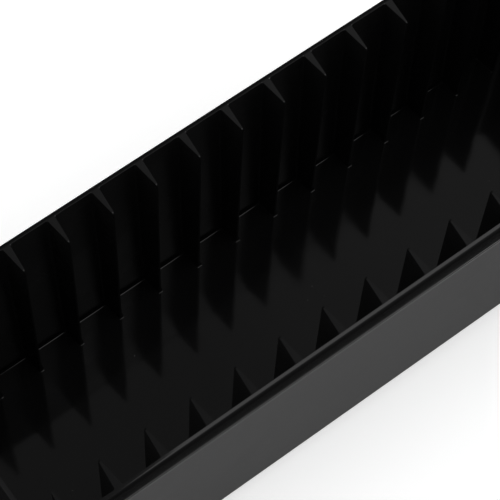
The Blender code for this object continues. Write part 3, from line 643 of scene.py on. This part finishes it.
tree.links.new(choice.outputs["Shader"], tree.nodes["Material Output"].inputs["Surface"])
floor.data.materials.append(paper)
print("floor:", tuple(floor.dimensions), "m")

# %% [markdown]
# ## Finishes that several materials share
# The mouldings share a few effects, so each effect is one node group. A group puts out only heights and
# masks that change over the surface, and each material decides what they do to its colour, roughness
# and bump. All of them read Object coordinates, so nothing slides when a piece moves.

# %% Start a group, and add noise and specks to it
def new_group(name, inputs, outputs):
    """An empty node group, with its sockets. Returns the tree and its input and output nodes."""
    tree = bpy.data.node_groups.new(name, "ShaderNodeTree")
    for socket, value in inputs.items():
        made = tree.interface.new_socket(socket, in_out="INPUT", socket_type="NodeSocketFloat")
        made.default_value = value
    for socket in outputs:
        tree.interface.new_socket(socket, in_out="OUTPUT", socket_type="NodeSocketFloat")
    return tree, add_node(tree, "NodeGroupInput"), add_node(tree, "NodeGroupOutput")


def noise(tree, scale, detail=2.0, stretch=(1.0, 1.0, 1.0), roughness=0.5, offset=(0.0, 0.0, 0.0)):
    """A Noise Texture on Object coordinates, which can be stretched. Scale is in features per metre."""
    place = add_node(tree, "ShaderNodeMapping")
    place.inputs["Scale"].default_value = stretch
    place.inputs["Location"].default_value = offset
    tree.links.new(add_node(tree, "ShaderNodeTexCoord").outputs["Object"], place.inputs["Vector"])
    texture = add_node(tree, "ShaderNodeTexNoise")
    tree.links.new(place.outputs["Vector"], texture.inputs["Vector"])
    texture.inputs["Detail"].default_value = detail
    texture.inputs["Roughness"].default_value = roughness
    if isinstance(scale, (int, float)):
        texture.inputs["Scale"].default_value = scale
    else:
        tree.links.new(scale, texture.inputs["Scale"])
    return texture.outputs["Fac"]


def specks(tree, scale, size):
    """A mask of round specks with soft edges: the middle of each cell of a Voronoi Texture."""
    texture = add_node(tree, "ShaderNodeTexVoronoi")
    tree.links.new(add_node(tree, "ShaderNodeTexCoord").outputs["Object"], texture.inputs["Vector"])
    texture.inputs["Scale"].default_value = scale
    return map_range(tree, texture.outputs["Distance"], (size, size * 0.4))


# %% [markdown]
# ## Marks that a mould leaves
# A thick glossy moulding is never quite flat: it shrinks a little unevenly as it cools, and on top of
# that has a very fine orange peel. A matt moulding shows the pitting of the spark that ate its mould.
# Both are noise, slow for the ripple and very fine for the spark texture.

# %% Build the ripple and the spark texture
def mould_ripple_group():
    """The gentle waviness of a thick glossy moulding, and the orange peel on top of it."""
    tree, into, out = new_group("mould_ripple", {"Peel": 0.3}, ["Height"])
    wave = noise(tree, 45.0, detail=1.0)
    peel = noise(tree, 420.0)
    small = calculate(tree, "MULTIPLY", peel, into.outputs["Peel"])
    tree.links.new(calculate(tree, "ADD", wave, small), out.inputs["Height"])
    return tree


def spark_texture_group():
    """The fine even pitting that spark erosion leaves in a mould."""
    tree, into, out = new_group("spark_texture", {"Grain": 1600.0}, ["Height", "Shade"])
    fine = noise(tree, into.outputs["Grain"], detail=3.0, roughness=0.6)
    tree.links.new(fine, out.inputs["Height"])
    tree.links.new(map_range(tree, fine, (0.3, 0.7)), out.inputs["Shade"])
    return tree


ripple = mould_ripple_group()
spark = spark_texture_group()
print("groups:", ripple.name, "and", spark.name)

# %% [markdown]
# ## Dust
# Dust settles only on what faces up, so the group reads the surface's own direction. It is a thin film
# that gathers in patches, and here and there a speck, which a second noise keeps to a few places.

# %% Build the dust
def settled_dust_group():
    """Dust on surfaces that face up: a thin uneven film, and a few specks."""
    tree, into, out = new_group("settled_dust", {"Film": 0.3}, ["Mask"])
    facing = add_node(tree, "ShaderNodeSeparateXYZ")
    surface = add_node(tree, "ShaderNodeNewGeometry")
    tree.links.new(surface.outputs["Normal"], facing.inputs["Vector"])
    upward = map_range(tree, facing.outputs["Z"], (0.2, 0.9))
    patches = map_range(tree, noise(tree, 38.0, detail=4.0), (0.35, 0.8))
    film = calculate(tree, "MULTIPLY", patches, into.outputs["Film"])
    rare = map_range(tree, noise(tree, 55.0, detail=0.0), (0.7, 0.76))
    dots = calculate(tree, "MULTIPLY", specks(tree, scale=300.0, size=0.09), rare)
    both = calculate(tree, "MAXIMUM", film, dots)
    tree.links.new(calculate(tree, "MULTIPLY", both, upward), out.inputs["Mask"])
    return tree


dust = settled_dust_group()
print("group:", dust.name)

# %% [markdown]
# ## Marks of handling and of tools
# Hands leave soft smudges, and cards and boxes rub fine lines along the shoe. Bars and rods keep the
# fine lines of the die or the grinding belt. Lines are noise that is stretched along one axis, so the
# rubs run along Y and the drawn lines along X.

# %% Build the handling marks and the drawn lines
def handling_marks_group():
    """Soft smudges from hands, and fine rubs that run along the shoe."""
    tree, into, out = new_group("handling_marks", {"Rubs": 0.5}, ["Smudge", "Rub"])
    smudge = map_range(tree, noise(tree, 26.0, detail=3.0), (0.4, 0.75))
    tree.links.new(smudge, out.inputs["Smudge"])
    lines = noise(tree, 900.0, stretch=(1.0, 0.03, 1.0))
    elsewhere = noise(tree, 30.0, detail=1.0, offset=(3.0, 1.0, 2.0))
    patches = map_range(tree, elsewhere, (0.5, 0.7))
    rub = calculate(tree, "MULTIPLY", map_range(tree, lines, (0.62, 0.75)), patches)
    tree.links.new(calculate(tree, "MULTIPLY", rub, into.outputs["Rubs"]), out.inputs["Rub"])
    return tree


def drawn_lines_group():
    """The fine parallel lines of brushed, ground or drawn stock, which run along X."""
    tree, into, out = new_group("drawn_lines", {"Across": 1500.0}, ["Height", "Shade"])
    fine = noise(tree, into.outputs["Across"], detail=3.0, stretch=(0.02, 1.0, 1.0), roughness=0.65)
    tree.links.new(fine, out.inputs["Height"])
    tree.links.new(map_range(tree, fine, (0.3, 0.7)), out.inputs["Shade"])
    return tree


marks = handling_marks_group()
drawn = drawn_lines_group()
print("groups:", marks.name, "and", drawn.name)

# %% [markdown]
# ## Materials
# Each material is one Principled BSDF. Its plain numbers sit on the shader's own sockets, and what
# changes over the surface comes from the groups: a colour mixed by a mask, a roughness that a mask
# raises, and a bump from a height. A Mix node keeps sockets for every kind of data under the same
# names, so its colour sockets are picked by their number. Black plastic is coloured nearly black all
# through, so almost all that is seen of it is its gloss.

# %% Start a material and place a group in it
def new_material(name, colour, roughness, metallic=0.0, specular=0.5):
    """A material with plain values on its shader. Returns the material."""
    material = bpy.data.materials.new(name)
    material.use_nodes = True
    shader = material.node_tree.nodes["Principled BSDF"]
    shader.inputs["Base Color"].default_value = (*colour, 1.0)
    shader.inputs["Roughness"].default_value = roughness
    shader.inputs["Metallic"].default_value = metallic
    shader.inputs["Specular IOR Level"].default_value = specular
    return material


def effect(material, group, **values):
    """A group's node in a material, with its input values. Returns its outputs."""
    node = add_node(material.node_tree, "ShaderNodeGroup")
    node.node_tree = group
    for name, value in values.items():
        node.inputs[name].default_value = value
    return node.outputs


# %% Change the colour, the roughness and the bump by a mask
DUST_GREY = (0.09, 0.088, 0.085)
DUST_ROUGHNESS = 0.5
MIX_FACTOR = 0
MIX_UNDER = 6
MIX_OVER = 7
MIX_RESULT = 2


def tint(material, mask, colour, strength=1.0):
    """Mix a colour over the material's own by a mask."""
    tree = material.node_tree
    socket = tree.nodes["Principled BSDF"].inputs["Base Color"]
    mix = add_node(tree, "ShaderNodeMix", data_type="RGBA")
    amount = calculate(tree, "MULTIPLY", mask, strength)
    tree.links.new(amount, mix.inputs[MIX_FACTOR])
    if socket.is_linked:
        tree.links.new(socket.links[0].from_socket, mix.inputs[MIX_UNDER])
    else:
        mix.inputs[MIX_UNDER].default_value = socket.default_value
    mix.inputs[MIX_OVER].default_value = (*colour, 1.0)
    tree.links.new(mix.outputs[MIX_RESULT], socket)


def roughen(material, mask, amount):
    """Add to the material's roughness by a mask, or take from it by a negative amount."""
    tree = material.node_tree
    socket = tree.nodes["Principled BSDF"].inputs["Roughness"]
    start = socket.links[0].from_socket if socket.is_linked else socket.default_value
    tree.links.new(calculate(tree, "ADD", start, calculate(tree, "MULTIPLY", mask, amount)), socket)


def emboss(material, height, depth):
    """Bump the surface by a height that is depth mm from its lowest to its highest."""
    tree = material.node_tree
    socket = tree.nodes["Principled BSDF"].inputs["Normal"]
    bump = add_node(tree, "ShaderNodeBump")
    bump.inputs["Strength"].default_value = 1.0
    bump.inputs["Distance"].default_value = depth * MM
    tree.links.new(height, bump.inputs["Height"])
    tree.links.new(bump.outputs["Normal"], socket)


def dusted(material, film):
    """Let dust settle on the material."""
    mask = effect(material, dust, Film=film)["Mask"]
    tint(material, mask, DUST_GREY)
    roughen(material, mask, DUST_ROUGHNESS)


# %% [markdown]
# ## Glossy plastics of the trough
# The whole trough is one plastic, and only the mould's surface differs from place to place. Where the
# mould is polished like a mirror, the plastic is too, with a little ripple. In the bays between the
# ribs it is polished by long strokes down a narrow groove, which leaves it softer. A low specular level
# keeps those walls dark, because each of them mirrors mostly the next one.

# %% Make the polished and the draw polished plastic
polished = new_material("polished_black_plastic", (0.003, 0.003, 0.0031), roughness=0.07)
handled = effect(polished, marks, Rubs=0.3)
roughen(polished, handled["Smudge"], 0.035)
roughen(polished, handled["Rub"], 0.12)
emboss(polished, effect(polished, ripple, Peel=0.03)["Height"], depth=0.06)
dusted(polished, film=0.004)

bays = new_material(
    "draw_polished_black_plastic", (0.0045, 0.0045, 0.0046), roughness=0.24, specular=0.12
)
handled = effect(bays, marks, Rubs=0.6)
roughen(bays, handled["Smudge"], 0.08)
emboss(bays, effect(bays, ripple, Peel=0.03)["Height"], depth=0.06)
dusted(bays, film=0.004)
print("glossy plastics:", polished.name, "and", bays.name)

# %% [markdown]
# ## Matt plastics of the trough
# Spark erosion leaves an even matt grain, which scatters light and so looks dark grey. Where something
# rubs over the grain it turns lighter, and along the ledge a lighter grey is a painted highlight. The
# rib tips are eroded too, but much finer, and stay black.

# %% Make the spark textured, the painted highlight and the eroded plastic
sparked = new_material("spark_textured_black_plastic", (0.085, 0.085, 0.0855), roughness=0.52)
grain = effect(sparked, spark, Grain=1500.0)
tint(sparked, grain["Shade"], (0.102, 0.102, 0.1025))
roughen(sparked, grain["Shade"], 0.08)
handled = effect(sparked, marks, Rubs=0.5)
roughen(sparked, handled["Smudge"], -0.05)
tint(sparked, handled["Rub"], (0.107, 0.107, 0.107))
emboss(sparked, grain["Height"], depth=0.05)
dusted(sparked, film=0.05)

# A painted highlight: the ledge gets this lighter grey copy of the spark textured plastic, which stands
# in for the lamp's light along it.
ledge_highlight = new_material("ledge_painted_highlight_plastic", (0.16, 0.16, 0.161), roughness=0.48)
grain = effect(ledge_highlight, spark, Grain=1500.0)
roughen(ledge_highlight, grain["Shade"], 0.08)
emboss(ledge_highlight, grain["Height"], depth=0.03)

eroded = new_material("eroded_black_plastic", (0.003, 0.003, 0.0031), roughness=0.55, specular=0.06)
emboss(eroded, effect(eroded, spark, Grain=2400.0)["Height"], depth=0.01)
print("matt plastics:", sparked.name + ",", ledge_highlight.name, "and", eroded.name)

# %% [markdown]
# ## Plastics of the weight and the front plate
# The weight is pushed and lifted by hand, so its mouldings have a satin grain that hides most marks,
# and the rubs show grey. The front plate is glossy sheet, which every card rubs as it leaves.

# %% Make the satin and the plate plastic
satin = new_material("satin_black_plastic", (0.012, 0.012, 0.0125), roughness=0.3)
grain = effect(satin, spark, Grain=2400.0)
emboss(satin, grain["Height"], depth=0.02)
handled = effect(satin, marks, Rubs=0.8)
roughen(satin, handled["Smudge"], 0.12)
tint(satin, handled["Rub"], (0.05, 0.05, 0.05))
dusted(satin, film=0.04)

plate_plastic = new_material("glossy_plate_plastic", (0.0045, 0.0045, 0.0047), roughness=0.1)
handled = effect(plate_plastic, marks, Rubs=0.8)
roughen(plate_plastic, handled["Smudge"], 0.08)
roughen(plate_plastic, handled["Rub"], 0.2)
emboss(plate_plastic, effect(plate_plastic, ripple, Peel=0.02)["Height"], depth=0.04)
dusted(plate_plastic, film=0.01)
print("other plastics:", satin.name, "and", plate_plastic.name)

# %% [markdown]
# ## Metals
# Bare steel shows how it was worked: the card slide is brushed, the weight's bar is blued and keeps the
# lines of its die, and the axles are ground fine. One function makes all three, with its own colours
# and spacing of the lines. The screws are zinc plated, and the plating dulls where fingers touched it.

# %% Make the steels and the zinc plate
DARK_LINES = 0.5
LINES_ROUGHNESS = 0.1


def drawn_metal(name, colour, dark, roughness, across, depth):
    """Bare metal with lines of a darker colour, this many to the metre and this many mm deep."""
    metal = new_material(name, colour, roughness, metallic=1.0)
    lines = effect(metal, drawn, Across=across)
    tint(metal, lines["Shade"], dark, DARK_LINES)
    roughen(metal, lines["Shade"], LINES_ROUGHNESS)
    emboss(metal, lines["Height"], depth)
    roughen(metal, effect(metal, marks, Rubs=0.5)["Smudge"], 0.12)
    return metal


slide_steel = drawn_metal("brushed_steel", (0.56, 0.56, 0.57), (0.4, 0.4, 0.41), 0.22, 1500.0, 0.01)
bar_steel = drawn_metal("blued_steel_bar", (0.2, 0.21, 0.24), (0.1, 0.1, 0.12), 0.35, 900.0, 0.02)
axle_steel = drawn_metal("ground_steel", (0.6, 0.6, 0.61), (0.5, 0.5, 0.5), 0.18, 2500.0, 0.004)

zinc = new_material("zinc_plate", (0.55, 0.56, 0.58), roughness=0.22, metallic=1.0)
handled = effect(zinc, marks, Rubs=0.6)
tint(zinc, handled["Smudge"], (0.4, 0.42, 0.46))
roughen(zinc, handled["Smudge"], 0.15)
emboss(zinc, effect(zinc, spark, Grain=3000.0)["Height"], depth=0.006)
print("metals:", [metal.name for metal in (slide_steel, bar_steel, axle_steel, zinc)])

# %% [markdown]
# ## Nylon and rubber
# The rollers are short lengths of natural nylon rod, and keep the rod's faint lines. Each foot is soft
# black rubber, whose coarse grain takes away all of its gloss.

# %% Make the nylon and the rubber
nylon = new_material("turned_nylon", (0.72, 0.71, 0.67), roughness=0.42)
lines = effect(nylon, drawn, Across=1200.0)
tint(nylon, lines["Shade"], (0.62, 0.61, 0.57))
emboss(nylon, lines["Height"], depth=0.02)
roughen(nylon, effect(nylon, marks, Rubs=0.5)["Smudge"], 0.15)

rubber = new_material("foot_rubber", (0.02, 0.02, 0.02), roughness=0.7)
grain = effect(rubber, spark, Grain=1200.0)
tint(rubber, grain["Shade"], (0.03, 0.03, 0.03))
emboss(rubber, grain["Height"], depth=0.04)
print(len(bpy.data.materials), "materials in all")

# %% [markdown]
# ## Finish each piece
# The trough has several finishes from one mould. The floor with its fillet, the rim and the rib tops
# are polished to a mirror. The sides of the ribs, the walls between them and the stepped-in lip outside
# are draw polished: the toolmaker can only stroke along a groove or a step there, so they stay softer
# and darker. The outside below the ledge is spark textured. Two narrow strips differ: the ribs' tips
# are the bottoms of the mould's narrow grooves, where no polishing tool reaches, and the ledge gets a
# lighter grey, a painted highlight that stands in for the lamp's light along it. Each finish ends at an
# edge, so whole faces take one or another by their place.

# %% Choose a finish for each face of the trough
# The fourth finish is a painted highlight: a lighter grey along the ledge.
POLISHED, SPARKED, BAYS, LEDGE_HIGHLIGHT, ERODED = range(5)
FACES_UP = math.cos(math.radians(8.0))
PAST_LIP = 0.06
LEDGE_STRIP = 0.35
UNDER_LEDGE = 0.2
OUTER_SKIN = 0.5
TIP_STRIP = 1.6
TIP_FROM_FLOOR = 5.0
TIP_FROM_RIM = 2.0
RIM_BAND = 3.2
RIM_TOP = 0.6


def trough_finish(place, normal):
    """The finish of one of the trough's faces, by its middle and its normal in the trough's frame."""
    wall = across_wall(place)
    outside_lip = wall > WALL - LIP_STEP + PAST_LIP
    sideways = abs(normal.z) < 0.5 and abs(normal.x) > 0.5
    at_tip = abs(abs(place.x) - RIB_TIP) < TIP_STRIP and sideways
    # The strip along the ledge takes the painted highlight.
    if outside_lip and abs(place.z - LEDGE) < LEDGE_STRIP:
        return LEDGE_HIGHLIGHT
    if at_tip and TIP_FROM_FLOOR < place.z < DEPTH - TIP_FROM_RIM:
        return ERODED
    below_ledge = outside_lip and place.z < LEDGE + UNDER_LEDGE
    if wall > WALL - OUTER_SKIN or below_ledge or place.z < -FLOOR / 2:
        return SPARKED
    on_rim = place.z > DEPTH - RIM_TOP or wall > 0.0 and place.z > DEPTH - RIM_BAND
    if normal.z > FACES_UP or 0.0 < place.z < FLOOR_CHAMFER + AT_LEVEL or on_rim:
        return POLISHED
    return BAYS


# %% Assign the trough's materials
def finish(piece, *materials):
    """Give a piece its materials, in order."""
    piece.data.materials.clear()
    for material in materials:
        piece.data.materials.append(material)


finish(trough, polished, sparked, bays, ledge_highlight, eroded)
to_trough = TO_TROUGH.to_3x3()
faces_of = [0] * len(trough.data.materials)
for face in trough.data.polygons:
    face.material_index = trough_finish(in_trough(face.center), to_trough @ face.normal)
    faces_of[face.material_index] += 1
# The fourth count is the faces with the ledge's painted highlight.
print("trough faces:", faces_of, "polished, spark textured, draw polished, rubbed and eroded")

# %% Assign the other pieces' materials
finish(front_plate, plate_plastic)
finish(card_slide, slide_steel)
finish(wedge_base, sparked)
finish(weight_cover, satin)
finish(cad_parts["weight_chassis"], satin)
finish(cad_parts["weight_slug"], bar_steel)
for end in ("front", "rear"):
    finish(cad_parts[f"{end}_axle"], axle_steel)
    for side in ("left", "right"):
        finish(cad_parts[f"roller_{end}_{side}"], nylon)
for piece in screws:
    finish(piece, zinc)
for piece in feet:
    finish(piece, rubber)
print(len(screws), "screws are zinc plated and", len(feet), "feet are rubber")
